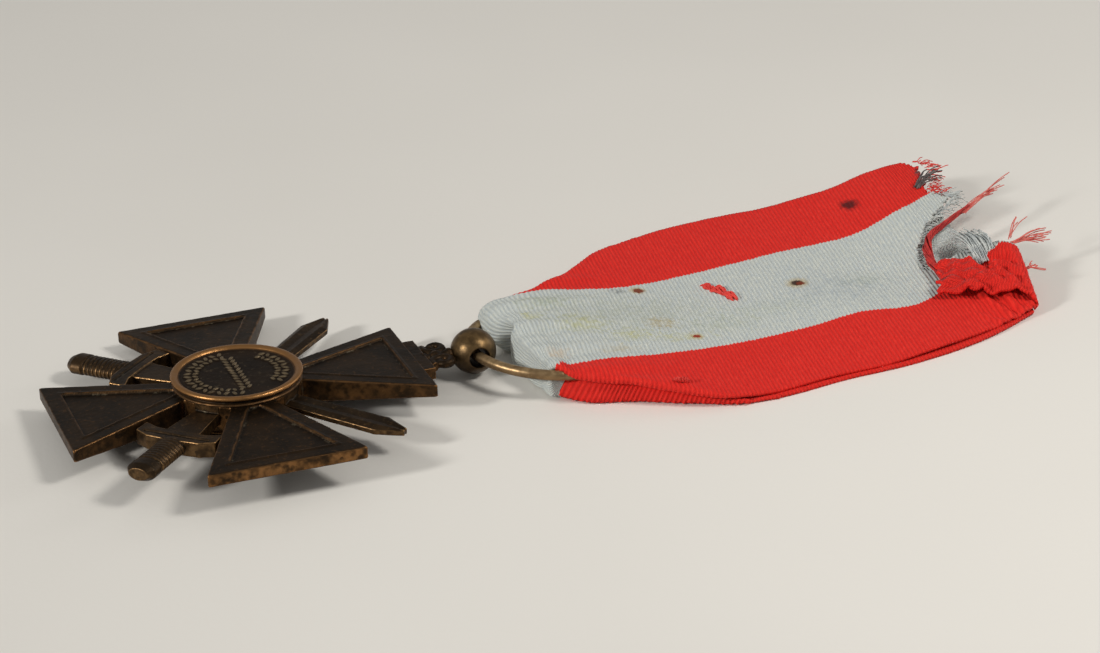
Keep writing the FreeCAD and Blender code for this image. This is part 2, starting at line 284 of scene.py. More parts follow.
PATINA = bronze("patinated_bronze", srgb(36, 26, 14), srgb(55, 39, 21), srgb(146, 103, 60), 0.62,
                residue=0.6)
SWORD = bronze("sword_bronze", srgb(44, 33, 20), srgb(68, 51, 32), srgb(164, 126, 82), 1.0,
               residue=0.5, roughness=(0.46, 0.28))
PATINA_WARM = bronze("patinated_bronze_rim", srgb(60, 43, 26), srgb(92, 66, 40),
                     srgb(158, 114, 68), 1.0, residue=0.15, roughness=(0.50, 0.36))
FIELD = bronze("medallion_field", srgb(34, 25, 16), srgb(48, 35, 23), srgb(146, 128, 100), 1.0,
               residue=0.15, roughness=(0.6, 0.42))
WIRE = bronze("ring_bronze", srgb(118, 94, 66), srgb(152, 124, 88), srgb(212, 180, 134), 1.0,
              residue=0.1, roughness=(0.42, 0.30))
RUBBED = bronze("rubbed_bronze", srgb(66, 51, 33), srgb(94, 74, 47), srgb(156, 124, 80), 0.9,
                residue=0.1, roughness=(0.42, 0.31))


# ---- Cast metal pieces: a fused, slightly worn skin over a rough solid
def cast(obj, voxel, rub_and_light_of, lumps=0.012):
    """Fuses obj into one skin with soft edges, roughens it, and writes its "form"."""
    remesh = obj.modifiers.new("fuse", "REMESH")
    remesh.mode = "VOXEL"
    remesh.voxel_size = voxel
    remesh.adaptivity = 0.0
    depsgraph = bpy.context.evaluated_depsgraph_get()
    mesh = bpy.data.meshes.new_from_object(obj.evaluated_get(depsgraph))
    obj.modifiers.clear()
    obj.data = mesh
    mesh.polygons.foreach_set("use_smooth", [True] * len(mesh.polygons))
    mean = neighbour_mean(mesh)
    co = coords(mesh)
    for _ in range(2):
        co += 0.55 * (mean(co) - co)
        co -= 0.50 * (mean(co) - co)
    set_coords(mesh, co)
    n = normals(mesh)
    near, wide = co.copy(), co.copy()
    for _ in range(5):
        near = mean(near)
    for _ in range(30):
        wide = mean(wide)
    edge = ((co - near) * n).sum(1) / voxel
    broad = ((co - wide) * n).sum(1) / voxel
    convex = np.clip(edge * 1.5, 0, 1)
    hollow = np.clip(-broad * 0.5 - edge, 0, 1)
    rub_and_light = rub_and_light_of(co, n)
    bumps = np.array([noise.fractal(Vector(p) * 0.9, 0.6, 2.2, 4) for p in co])
    co += n * (lumps * bumps)[:, None]
    set_coords(mesh, co)
    write_form(obj, convex, hollow, rub_and_light)
    return obj


def copy_of(node):
    """A node's shape again, in millimetres in the medal's own frame."""
    mesh = NODES[node].data.copy()
    mesh.transform(METAL.inverted() @ Matrix.Scale(1 / MM, 4))
    work = bmesh.new()
    work.from_mesh(mesh)
    bmesh.ops.remove_doubles(work, verts=work.verts, dist=0.002)
    work.to_mesh(mesh)
    work.free()
    obj = bpy.data.objects.new("work_" + node, mesh)
    bpy.context.scene.collection.objects.link(obj)
    return obj


def upright(n, limit):
    """1 where a surface stands upright, 0 where it faces up or down."""
    return smooth((limit - np.abs(n[:, 2])) / 0.5)


def flank_wear_and_light(co, n):
    """The outer sides of the arms are rubbed. The flanks at the near arm's end and on the right arm's near
    side, turned towards the viewer and the key lamp, get much more of the bright colour: that extra is
    painted light.
    """
    side = upright(n, 0.75)
    radius = np.hypot(co[:, 0], co[:, 1])
    out = smooth((radius - 6.0) / 4.0)
    near_end = np.exp(-((co[:, 1] + ARM_REACH) / 1.2) ** 2)
    right_flank = np.exp(-((co[:, 1] + 4) / 3.5) ** 2) * (co[:, 0] > 6)
    hub = smooth((7.2 - radius) / 0.6) * (np.abs(co[:, 2]) < HUB_HALF_THICK)
    # near_end and right_flank are painted light on the flanks that face the near side.
    amount = 0.22 + 0.62 * near_end + 0.22 * right_flank
    return np.clip(side * (out * amount + 0.75 * hub), 0, 1)


cross = cast(copy_of("cross_plate"), 0.11, rub_and_light_of=flank_wear_and_light)
cross.name = "cross_body"
final(cross, METAL, "cross", "patinated_bronze", PATINA, "cross_plate")

for node in ("sword_left", "sword_right"):
    sword = cast(copy_of(node), 0.075, lumps=0.015, rub_and_light_of=lambda co, n: 0.35 * upright(n, 0.6))
    sword.name = node + "_cast"
    final(sword, METAL, "cross", "patinated_bronze", SWORD, node)


# ---- Medallions: a turned rim round a sunken field with low relief
DISC_RADIUS = 6.65
DISC_FIELD = 5.72
LEAF_HEIGHT = 0.17
STAR_RADIUS = 3.3
TURNS = 420                           # points round a medallion


def leaf(x, y, cx, cy, angle, length, width, height):
    """A small raised leaf with a fine groove along its middle."""
    c, s = math.cos(angle), math.sin(angle)
    a = ((x - cx) * c + (y - cy) * s) * 2 / length
    b = (-(x - cx) * s + (y - cy) * c) * 2 / width
    body = np.sqrt(np.clip(1 - a * a - b * b * (1 + 0.8 * a * a), 0, 1))
    return height * body * (1 - 0.45 * np.exp(-(b / 0.22) ** 2))


def wreath_relief(x, y):
    """Leaves round the left and right of the field, and an ear of leaves across the middle."""
    h = np.zeros_like(x)
    for first, last, count in ((96, 262, 19), (-44, 44, 11)):
        for i in range(count):
            at = math.radians(first + (last - first) * i / (count - 1))
            tilt = at + math.radians(28 if i % 2 else -28)
            for r, size in ((4.90, 1.0), (4.12, 0.85)):
                h = np.maximum(h, leaf(x, y, r * math.cos(at), r * math.sin(at), tilt,
                                       1.15 * size, 0.48 * size, LEAF_HEIGHT))
    for i in range(-5, 6):
        for side in (-1, 1):
            h = np.maximum(h, leaf(x, y, 0.38 * side, 0.72 * i, math.radians(90 - 38 * side),
                                   1.10, 0.46, LEAF_HEIGHT))
    border = 0.05 * np.exp(-((np.hypot(x, y) - 5.55) / 0.10) ** 2)
    return np.maximum(h, border)


def star_relief(x, y):
    """A plain five-pointed star with ridged points, inside a ring of beads."""
    r, at = np.hypot(x, y), np.arctan2(y, x)
    off_point = np.abs((at / (math.tau / 5) + 0.5) % 1 - 0.5) * math.tau / 5
    inside = STAR_RADIUS * (1 - r / STAR_RADIUS) - 3.1 * off_point * r / 2.2
    h = np.clip(inside * 0.35, 0, 0.26)
    for i in range(30):
        a = math.radians(12 * i)
        d = np.hypot(x - 5.05 * math.cos(a), y - 5.05 * math.sin(a)) / 0.23
        h = np.maximum(h, 0.14 * np.sqrt(np.clip(1 - d * d, 0, 1)))
    return h


def medallion(name, node, height, relief, flip):
    """The rim as a turned profile, and the field's relief from a height for each place on it."""
    base, top = HUB_HALF_THICK, HUB_HALF_THICK + height
    field = top - 0.33
    profile = [(DISC_RADIUS - 0.9, base - 0.02), (DISC_RADIUS - 0.16, base - 0.02),
               (DISC_RADIUS - 0.12, base + 0.06), (DISC_RADIUS - 0.13, base + 0.16),
               (DISC_RADIUS - 0.30, base + 0.24), (DISC_RADIUS - 0.46, base + 0.30),
               (DISC_RADIUS - 0.46, base + 0.36), (DISC_RADIUS - 0.30, top - 0.56),
               (DISC_RADIUS - 0.10, top - 0.47), (DISC_RADIUS - 0.01, top - 0.34),
               (DISC_RADIUS, top - 0.24), (DISC_RADIUS - 0.05, top - 0.12),
               (DISC_RADIUS - 0.16, top - 0.03), (DISC_RADIUS - 0.32, top + 0.0),
               (DISC_RADIUS - 0.50, top - 0.02), (DISC_RADIUS - 0.66, top - 0.10),
               (DISC_RADIUS - 0.76, top - 0.22), (DISC_RADIUS - 0.84, top - 0.31)]
    rings = profile + [(r, field) for r in np.linspace(DISC_FIELD, 0.05, 66)]
    turn = np.linspace(0, math.tau, TURNS, endpoint=False)
    r = np.array([p[0] for p in rings])[:, None]
    z = np.array([p[1] for p in rings])[:, None] + 0 * turn
    x, y = r * np.cos(turn), r * np.sin(turn)
    inner = np.arange(len(rings)) >= len(profile)
    raised = relief(x, y) * inner[:, None] * smooth((DISC_FIELD - r) / 0.25)
    z = z + raised
    points = np.stack([x, y, z], -1).reshape(-1, 3)
    points = np.vstack([points, [[0, 0, field + raised[-1].mean()], [0, 0, base - 0.02]]])
    rows, cap, under = len(rings), len(points) - 2, len(points) - 1
    faces = []
    for i in range(rows - 1):
        for k in range(TURNS):
            j = (k + 1) % TURNS
            faces.append((i * TURNS + k, i * TURNS + j, (i + 1) * TURNS + j, (i + 1) * TURNS + k))
    for k in range(TURNS):
        j = (k + 1) % TURNS
        faces.append(((rows - 1) * TURNS + k, (rows - 1) * TURNS + j, cap))
        faces.append((j, k, under))
    obj = mesh_object(name, points, faces)
    height_of = (raised / 0.13).reshape(-1)
    rim = np.zeros((rows, TURNS))
    rim[9:17] = 0.9                   # the rounded top of the rim
    rim[1:5] = 0.45                   # the thin ledge under it
    rim[5:8] = -1.0                   # the groove between them
    rim = rim.reshape(-1)
    convex = np.concatenate([np.where(rim > 0, rim, 0) + np.clip(height_of, 0, 1) * 0.8, [0, 0]])
    hollow = np.concatenate([np.where(rim < 0, 1.0, 0.0), [0, 0]])
    rub_and_light = np.concatenate([np.where(rim > 0.5, 0.7, 0.0), [0, 0]])
    write_form(obj, convex, hollow, rub_and_light)
    co = coords(obj.data)
    worn_and_lit = np.array([noise.fractal(Vector(p) * 0.8, 0.6, 2.1, 3) for p in co])
    co += normals(obj.data) * (0.012 * worn_and_lit)[:, None]
    set_coords(obj.data, co)
    place = METAL @ Matrix.Rotation(math.pi, 4, "X") if flip else METAL
    final(obj, place, "cross", "patinated_bronze", PATINA_WARM, node)
    obj.data.materials.append(FIELD)
    material_index = np.zeros(len(obj.data.polygons), np.int32)
    material_index[len(profile) * TURNS:(rows - 1) * TURNS] = 1
    material_index[(rows - 1) * TURNS::2] = 1
    obj.data.polygons.foreach_set("material_index", material_index)


medallion("medallion_wreath", "reverse_medallion", 1.05, wreath_relief, False)
medallion("medallion_star", "obverse_medallion", 0.85, star_relief, True)


# ---- Tubes, used for the scrolls, the ring and the threads
def tube(points, radius, sides=10, closed=False):
    """Points and faces of a round tube along a path. radius may change along it."""
    path = np.asarray(points, float)
    radius = np.broadcast_to(np.asarray(radius, float), (len(path),))
    if closed:
        ahead, behind = np.roll(path, -1, 0), np.roll(path, 1, 0)
        tangent = ahead - behind
    else:
        tangent = np.gradient(path, axis=0)
    tangent /= np.linalg.norm(tangent, axis=1)[:, None]
    up = np.array([0.0, 0.0, 1.0])
    if abs(tangent[0] @ up) > 0.9:
        up = np.array([1.0, 0.0, 0.0])
    ring_points = []
    for p, t, r in zip(path, tangent, radius):
        side = np.cross(up, t)
        side /= np.linalg.norm(side)
        up = np.cross(t, side)
        for k in range(sides):
            a = math.tau * k / sides
            ring_points.append(p + r * (math.cos(a) * side + math.sin(a) * up))
    faces = []
    count = len(path)
    for i in range(count if closed else count - 1):
        a, b = i * sides, ((i + 1) % count) * sides
        for k in range(sides):
            j = (k + 1) % sides
            faces.append((a + k, a + j, b + j, b + k))
    if not closed:
        faces.append(tuple(reversed(range(sides))))
        faces.append(tuple(range((count - 1) * sides, count * sides)))
    return ring_points, faces


def joined(name, parts):
    """One object from several (points, faces) pairs."""
    points, faces = [], []
    for p, f in parts:
        start = len(points)
        points.extend(p)
        faces.extend(tuple(i + start for i in face) for face in f)
    return mesh_object(name, points, faces)


# ---- Hanger: a step on the arm's end, two scrolls and the ball's neck
def box(x0, x1, y, z):
    corners = ((-1, -1), (1, -1), (1, 1), (-1, 1))
    points = [(x, s * y, t * z) for x in (x0, x1) for s, t in corners]
    return points, [(3, 2, 1, 0), (4, 5, 6, 7), (0, 1, 5, 4), (1, 2, 6, 5), (2, 3, 7, 6), (3, 0, 4, 7)]


def scroll(side):
    """A little volute that starts at the neck and rolls in on itself."""
    path, width = [], []
    for i in range(46):
        t = i / 45
        angle = math.radians(-30 + 470 * t)
        r = 1.25 * (1 - 0.82 * t)
        path.append((21.15 - r * math.cos(angle), side * (1.72 - r * math.sin(angle)),
                     0.16 * math.sin(math.pi * t)))
        width.append(0.52 - 0.12 * t)
    return tube(path, width, 12)


neck_path = [(19.4 + 0.25 * i, 0, 0) for i in range(14)]
neck = tube(neck_path, [0.62 + 0.16 * math.cos(i * 1.1) for i in range(14)], 12)
step = box(ARM_REACH - 0.15, 19.65, 3.75, 0.62)
hanger = joined("hanger", [step, scroll(1), scroll(-1), neck])
cast(hanger, 0.07, lumps=0.02, rub_and_light_of=lambda co, n: 0.25 * upright(n, 0.7))
final(hanger, METAL, "cross", "patinated_bronze", PATINA, "scroll_hanger")


# ---- Ball with its cross hole, and the ring through it
def ball_profile():
    """(radius about the hole, place along it) from the hole's middle over the outside."""
    lip = math.acos(BALL_HOLE / BALL_RADIUS) - 0.07
    profile = [(BALL_HOLE, y) for y in np.linspace(-1.75, 1.75, 12)]
    profile += [(BALL_HOLE + 0.02, 1.93), (BALL_HOLE + 0.08, 2.06)]
    profile += [(BALL_RADIUS * math.cos(a), BALL_RADIUS * math.sin(a)) for a in np.linspace(lip, -lip, 56)]
    profile += [(BALL_HOLE + 0.08, -2.06), (BALL_HOLE + 0.02, -1.93)]
    return profile


def turned_ball(sides=96):
    """The profile turned about the hole's own axis."""
    profile = ball_profile()
    count = len(profile)
    points, faces = [], []
    for k in range(sides):
        a = math.tau * k / sides
        points += [(BALL_X + r * math.cos(a), y, r * math.sin(a)) for r, y in profile]
        start, following = k * count, (k + 1) % sides * count
        for i in range(count):
            j = (i + 1) % count
            faces.append((start + i, start + j, following + j, following + i))
    return mesh_object("ball", points, faces)


ball = turned_ball()
co = coords(ball.data)
# Inside the hole the bronze counts as fully hollow, so it turns near-black.
inside = np.hypot(co[:, 0] - BALL_X, co[:, 2]) < BALL_HOLE + 0.12
# Painted light: outside the hole the ball gets more of the bright rubbed colour towards its top.
top = smooth((co[:, 2] + 0.4) / 1.6) * 0.45
write_form(ball, np.where(inside, 0.0, 0.25), np.where(inside, 1.0, 0.0), np.where(inside, 0.0, top))
final(ball, METAL, "cross", "rubbed_bronze", RUBBED, "suspension_ball")


def bent_wire(steps=240, seam_at=52):
    """The ring: wire bent round by hand, not quite even, with a fine seam where its ends meet."""
    path, width = [], []
    for i in range(steps):
        a = math.tau * i / steps
        r = RING_RADIUS + 0.03 * math.sin(3 * a + 1)
        x = RING_RADIUS - r * math.cos(a)
        path.append((BALL_X + x * math.cos(RING_SLOPE), -r * math.sin(a), -x * math.sin(RING_SLOPE)))
        width.append(0.545 + 0.006 * math.sin(5 * a) - (0.07 if i == seam_at else 0.0))
    return joined("ring", [tube(path, width, 28, closed=True)])


ring = bent_wire()
# Painted light: the side of the wire that faces up gets the bright rubbed colour.
worn_and_lit = smooth((normals(ring.data)[:, 2] + 0.1) / 0.9) * 0.75
write_form(ring, 0.25 + 0 * worn_and_lit, 0 * worn_and_lit, worn_and_lit)
final(ring, METAL, "ring", "rubbed_bronze", WIRE, "suspension_ring")


# ---- Ribbon: one woven strip, 36 mm wide, folded through the ring. x and y are measured from
# the cross's centre, z from the table. w runs across the cloth, 0 at the near selvedge.
WIDTH = 36.0
STRIPE_NEAR, STRIPE_FAR = 10.0, 26.0  # the pale stripe lies between these
RIB = 0.45
FOLD_X = 31.0                         # the plies meet the rounded fold here
END_X = 86.0                          # the upper ply's last row, before it is torn
TEAR_SKEW = 0.096                     # the far selvedge's rows lie this much further on, per mm
CORNER_W = 14.0                       # the torn near corner is this wide, and is turned over
# How the plies lie at these stations: y of the selvedges or gathered edges and of the pale
# stripe's borders, w at the edges, and heights. WALL is how high the lower ply's edge turns up.
AT = [29.8, 33.5, 38, 43, 48, 52, 60, 67, 73, 79, 86]
Y_NEAR = [-6.7, -9.75, -11.6, -14.0, -15.9, -16.0, -14.9, -14.4, -13.3, -11.5, -8.5]
Y_NEAR_BORDER = [-6.0, -7.8, -7.6, -7.3, -6.6, -6.0, -5.1, -4.1, -4.6, -1.7, -0.9]
Y_FAR_BORDER = [6.2, 7.7, 7.3, 7.1, 8.2, 9.2, 10.8, 11.8, 12.3, 14.2, 15.8]
Y_FAR = [6.5, 8.4, 11.3, 15.7, 18.1, 19.6, 21.3, 22.0, 22.3, 23.4, 22.4]
W_NEAR = [11.0, 8.6, 6.0, 3.3, 0.3, 0, 0, 0, 0, 0, 0]
W_FAR = [25.0, 26.8, 29.5, 33.0, 35.7, 36, 36, 36, 36, 36, 36]
UPPER_NEAR = [3.85, 3.42, 2.90, 2.10, 1.22, 0.74, 0.62, 0.62, 0.64, 0.70, 0.84]
UPPER_FAR = [4.35, 4.15, 3.75, 3.35, 2.85, 2.55, 2.15, 2.15, 2.55, 3.55, 4.75]
LOWER_NEAR = [0.25, 0.22, 0.21, 0.21, 0.21, 0.21, 0.21, 0.21, 0.22, 0.25, 0.36]
LOWER_FAR = [0.25, 0.22, 0.21, 0.21, 0.21, 0.21, 0.40, 0.50, 0.85, 1.65, 2.65]
LOWER_W_NEAR = [11.0, 8.4, 4.6, 2.6, 0.4, 0, 0, 0, 0, 0, 0]
ROLL_UPPER = [0.24, 0.24, 0.24, 0.22, 0.10, 0.05, 0.05, 0.05, 0.05, 0.05, 0.05]
WALL_AT = [30.0, 31.0, 31.5, 32.2, 33.2, 34.6, 36, 38, 43, 48, 51, 56]
WALL = [2.2, 2.25, 2.40, 2.50, 2.60, 2.40, 2.14, 1.66, 0.82, 0.24, 0.06, 0.04]


def across(x, w, upper):
    """y, z and the slant of the ribs for one ply at the stations x (rows) and places w (columns).
    What the gathers hide at each edge turns back inside the loop."""
    def at(ys):
        return curve_through(x, AT, ys)

    near, far = at(Y_NEAR), at(Y_FAR)
    w_near = np.clip(at(W_NEAR if upper else LOWER_W_NEAR), 0, None)
    w_far = np.clip(at(W_FAR), None, WIDTH)
    roll = at(ROLL_UPPER)
    wall = curve_through(x, WALL_AT, WALL)
    z_near, z_far = (at(UPPER_NEAR), at(UPPER_FAR)) if upper else (at(LOWER_NEAR), at(LOWER_FAR))
    if upper:
        z_near = z_near - 0.30 * np.exp(-((x - 32.9) / 1.2) ** 2)
        near = near - 0.25 * np.exp(-((x - 32.6) / 1.2) ** 2)
    else:
        near = near - 0.25 - 0.35 * np.exp(-((x - 33.5) / 2.2) ** 2)
        far = far - 0.4
    border_near = np.maximum(at(Y_NEAR_BORDER), near + 0.25)
    border_far = np.minimum(at(Y_FAR_BORDER), far - 0.25)
    y = np.zeros((len(x), len(w)))
    z = np.zeros_like(y)
    slant = np.zeros_like(y)
    for i in range(len(x)):
        curl_near, curl_far = smooth(w_near[i] / 0.8), smooth((WIDTH - w_far[i]) / 0.8)
        knots_w = [w_near[i], max(STRIPE_NEAR, w_near[i] + 0.35),
                   min(STRIPE_FAR, w_far[i] - 0.35), w_far[i]]
        knots_y = [near[i] + roll[i] * curl_near, border_near[i], border_far[i],
                   far[i] - roll[i] * curl_far]
        row_y = np.interp(w, knots_w, knots_y)
        across_part = (row_y - near[i]) / (far[i] - near[i])
        row_z = z_near[i] + (z_far[i] - z_near[i]) * across_part
        row_slant = np.zeros(len(w))
        for hidden, edge_y, outward in ((w_near[i] - w, knots_y[0], -1), (w - w_far[i], knots_y[3], 1)):
            turned = hidden > 0
            if upper:
                r = roll[i]
                limit = 0.9 if x[i] < 36 else 2.6
                past = np.where(turned, limit * (1 - np.exp(-np.clip(hidden, 0, None) / limit)), 0)
                angle = np.clip(past / r, 0, math.pi)
                beyond = np.clip(past - math.pi * r, 0, None)
                row_y = np.where(turned, edge_y + outward * (r * np.sin(angle) - beyond), row_y)
                row_z = np.where(turned, row_z - r * (1 - np.cos(angle)) - 0.10 * beyond, row_z)
            else:
                tall = wall[i] if outward < 0 else max(0.4 * wall[i], 0.05)
                past = np.where(turned, np.minimum(hidden, 1.9 * tall), 0)
                angle = np.clip(past / (1.25 * tall), 0, 1) * math.pi / 2
                beyond = np.clip(past - 1.25 * tall, 0, None)
                lean = 0.16 + 0.30 * tall
                inward = lean * (1 - np.cos(angle)) + beyond
                row_y = np.where(turned, edge_y + outward * (0.14 - inward), row_y)
                row_z = np.where(turned, row_z + tall * np.sin(angle), row_z)
                if outward < 0:
                    row_slant = np.where(turned, 0.75 * past, row_slant)
        y[i], z[i], slant[i] = row_y, row_z, row_slant
    return y, z, slant


def upper_waves(x, y):
    """Soft gathers that fan out from the fold, and a slow wave towards the torn end."""
    fan = np.exp(-((x - 30) / 9.0) ** 2)
    ridges = 0.16 * np.sin(1.35 * y + 0.9) + 0.10 * np.sin(2.6 * y - 0.4 + 0.05 * x)
    puff = 0.30 * np.exp(-((y - 1.0) / 4.5) ** 2)
    slow = 0.22 * smooth((x - 58) / 12) * np.sin((x - 58) / 3.9 + y / 7.0)
    dip = -0.30 * np.exp(-((x - 72) / 5.0) ** 2 - ((y - 2.0) / 4.0) ** 2)
    return fan * (ridges + puff) + slow + dip


def uneven(where, scale, seed, amount, fractal=True):
    """A ragged offset for each place across the cloth."""
    places = [Vector((v * scale, seed, 0)) for v in where]
    if fractal:
        return amount * np.array([noise.fractal(place, 0.7, 2.0, 4) for place in places])
    return amount * np.array([noise.noise(place) for place in places])


def torn_reach(w):
    """Where the upper ply's torn end lies, at each place across the cloth."""
    reach = np.interp(w, [CORNER_W, 16, 18, 20, 22, 23.3, 24.2, 25.5, 27, 29, 31, 34, 36],
                      [77.6, 77.2, 77.7, 79.0, 81.0, 84.0, 85.4, 84.6, 83.4, 83.9, 84.6, 85.0, 83.8])
    return reach + uneven(w, 1.7, 3.1, 0.7)


def end_height(x, y):
    """Height of the upper ply near its torn end."""
    return 0.92 + (0.080 + 0.0045 * (x - 79)) * (y + 11.5)


def fold_profile(y):
    """The left end of the fold: round at the far side, a deep pleat, then a sharp near edge."""
    return np.interp(y, [-6.4, -4.5, -2.0, -0.25, 0.05, 0.9, 1.5, 2.3, 3.6, 5.2, 6.6],
                     [30.3, 29.55, 29.10, 29.05, 29.05, 29.15, 29.05, 28.7, 28.2, 27.8, 27.9])


def pleat_depth(y):
    """How far the cloth is tucked in between the two parts of the fold."""
    return np.interp(y, [-0.10, 0.10, 0.45, 1.2, 2.2, 3.2, 4.2], [0, 0.9, 3.0, 2.6, 1.2, 0.35, 0])


# The cloth is a grid: columns across it, and rows along it from the upper ply's torn end, round
# the fold and back to the lower ply's torn end. Two rows make one rib.
STEP = RIB / 2
COLUMNS = np.unique(np.round(np.concatenate([
    np.arange(0, CORNER_W + 0.1, 0.28), [CORNER_W, CORNER_W + 0.2], np.arange(14.4, 21.0, 0.15),
    np.arange(21.0, WIDTH, 0.30), [WIDTH]]), 3))
CORNER = COLUMNS <= CORNER_W + 1e-6
UPPER_X = np.arange(END_X, FOLD_X, -STEP)
CORNER_ROWS = 64
TURN_ROWS = 36
TURN_START = CORNER_ROWS + len(UPPER_X)
TURN_END = TURN_START + TURN_ROWS


def upper_ply():
    """From the torn end to the fold."""
    y, z, _ = across(UPPER_X, COLUMNS, True)
    x = np.repeat(UPPER_X[:, None], len(COLUMNS), 1)
    x = x + TEAR_SKEW * y * smooth((END_X + 0.5 - x) / 8) * smooth((x - FOLD_X) / 3)
    return np.stack([x, y, z + upper_waves(x, y)], -1)


def with_turned_corner(upper):
    """The torn corner goes on beyond the last row, and is turned over along a slanting line.
    Also says how far past that line each point is."""
    w = COLUMNS
    reach = 10.4 + 0.16 * w + uneven(w, 1.3, 7.7, 0.8, fractal=False)
    reach = np.where(w > 10.3, reach - 1.0 - 0.9 * (w - 10.3), reach)
    share = np.linspace(1, 0, CORNER_ROWS, endpoint=False)
    flat = upper[0] + share[:, None, None] * reach[None, :, None] * np.array([1.0, 0.10, 0.03])
    sheet = np.concatenate([flat, upper])

    fold_at = np.array([85.3, -4.8])
    normal = np.array([0.986, -0.165])
    beside = np.array([0.165, 0.986])
    off = (sheet[:, :, :2] - fold_at) @ normal
    along = (sheet[:, :, :2] - fold_at) @ beside
    radius = 0.42 + 0.065 * np.clip(along + 4, 0, 10)
    past = np.where((off > 0) & CORNER[None, :], off, 0)
    angle = np.clip(past / radius, 0, math.pi)
    flat_part = np.clip(past - math.pi * radius, 0, None)
    shift = np.where(past > 0, radius * np.sin(angle) - flat_part - past, 0)
    gather = (-0.66 - 0.367 * along) * smooth(flat_part / 5.0)
    sheet[:, :, 0] += shift * normal[0] + gather * beside[0]
    sheet[:, :, 1] += shift * normal[1] + gather * beside[1]
    sheet[:, :, 2] += np.where(past > 0, radius * (1 - np.cos(angle)), 0)
    for i, k in np.argwhere(CORNER[None, :] & (sheet[:, :, 0] > 74)):
        px, py = sheet[i, k, :2]
        over = past[i, k] > 0
        ridge = noise.noise(Vector((0.42 * px + 3 * over, 0.30 * py + 0.25 * px, 2.0)))
        ridge = 1 - abs(ridge) * 2.6
        small = noise.noise(Vector((0.9 * px, 1.1 * py, 5.0 + over)))
        if flat_part[i, k] > 0:
            under, r = end_height(px, py), radius[i, k]
            crumple = float(smooth(flat_part[i, k] / 1.5)) * (1.15 * ridge + 0.40 * small - 0.25)
            lying = under + 0.5 + (2 * r - 0.5) * math.exp(-flat_part[i, k] / 4.0) + crumple
            sheet[i, k, 2] = max(lying, under + 0.42)
        elif not over:
            sheet[i, k, 2] += float(smooth((px - 76) / 8)) * (0.60 * max(ridge, 0) + 0.22 * small)
    return sheet, past


def fold_rows():
    """The turn from the upper ply to the lower one, in rows spaced evenly along the cloth."""
    at = np.array([FOLD_X])
    top_y, top_z, _ = across(at, COLUMNS, True)
    top_z = top_z + upper_waves(np.full_like(top_y, FOLD_X), top_y)
    low_y, low_z, low_slant = across(at, COLUMNS, False)
    outer = fold_profile(top_y[0])
    t = np.linspace(0, math.pi, 361)[:, None]
    share = (1 - np.cos(t)) / 2
    boxy = 0.20 + 0.56 * smooth((top_y[0] - 0.5) / 2.0)
    tucked = pleat_depth(top_y[0]) * smooth((t - 0.25) / 0.9)
    turn_x = FOLD_X - (FOLD_X - outer - tucked) * np.sin(t) ** boxy + low_slant[0] * share
    turn = np.stack([turn_x, top_y[0] * (1 - share) + low_y[0] * share,
                     top_z[0] * (1 - share) + low_z[0] * share], -1)
    rows = np.zeros((TURN_ROWS, len(COLUMNS), 3))
    for k in range(len(COLUMNS)):
        steps = np.linalg.norm(np.diff(turn[:, k], axis=0), axis=1)
        length = np.concatenate([[0], np.cumsum(steps)])
        places = np.linspace(0, length[-1], TURN_ROWS + 2)[1:-1]
        for axis in range(3):
            rows[:, k, axis] = np.interp(places, length, turn[:, k, axis])
    return rows


def lower_ply():
    """From the fold back to its own torn end, which is stretched or cut short place by place."""
    rows_x = np.arange(FOLD_X, 85.6, STEP)
    y, z, slant = across(rows_x, COLUMNS, False)
    x = np.repeat(rows_x[:, None], len(COLUMNS), 1)
    end = 84.6 + uneven(COLUMNS, 1.1, 11.3, 0.8)
    x = np.where(x > 76, 76 + (x - 76) * (end[None, :] - 76) / 9.6, x) + slant
    return np.stack([x, y, z], -1)


def kept_faces(rows, past):
    """Which faces of the grid are cloth, and not torn off."""
    keep = np.ones((rows - 1, len(COLUMNS) - 1), bool)
    torn_off = (UPPER_X[:, None] > torn_reach(COLUMNS)[None, :]) & ~CORNER[None, :]
    keep[:CORNER_ROWS, :] = CORNER[None, 1:]
    keep[CORNER_ROWS:TURN_START, :] &= ~torn_off[:, 1:]
    folded_back = past[:CORNER_ROWS, 1:] > 0.4
    keep[:CORNER_ROWS] &= ~(folded_back & (COLUMNS[None, 1:] > 10.2))
    return keep


def woven_places(sheet):
    """Place along and across the cloth, and whether it is the upper ply. Only the pale stripe
    shows round the fold: what is red there is gathered inside."""
    rows, columns = sheet.shape[:2]
    pale_near, pale_far = STRIPE_NEAR + 0.3, STRIPE_FAR - 0.4
    woven = np.repeat(COLUMNS[None, :], rows, 0)
    round_fold = woven[TURN_START - 3:TURN_END + 3]
    np.minimum(round_fold, pale_far, out=round_fold)
    turn = woven[TURN_START:TURN_END]
    np.maximum(turn, pale_near, out=turn)
    start = sheet[TURN_END:TURN_END + 9]
    still_pale = start[:, :, 0] < 30.5 + 1.1 * (1 - start[:, :, 2] / 2.6)
    woven[TURN_END:TURN_END + 9][still_pale & (COLUMNS[None, :] < pale_near)] = pale_near
    along = np.repeat(np.arange(rows)[:, None], columns, 1) * STEP
    upper = np.repeat((np.arange(rows) < TURN_START)[:, None], columns, 1)
    return np.stack([along, woven, upper], -1).reshape(-1, 3)


def thickened(obj, thickness=0.34):
    """The sheet as closed cloth, lying on the table and not in it."""
    solid = obj.modifiers.new("thickness", "SOLIDIFY")
    solid.thickness = thickness
    solid.offset = 0.0
    solid.use_even_offset = False
    depsgraph = bpy.context.evaluated_depsgraph_get()
    thick = bpy.data.meshes.new_from_object(obj.evaluated_get(depsgraph))
    obj.modifiers.clear()
    obj.data = thick
    thick.polygons.foreach_set("use_smooth", [True] * len(thick.polygons))
    co = coords(thick)
    co[:, 2] = np.maximum(co[:, 2], 0.005)
    set_coords(thick, co)
    return obj


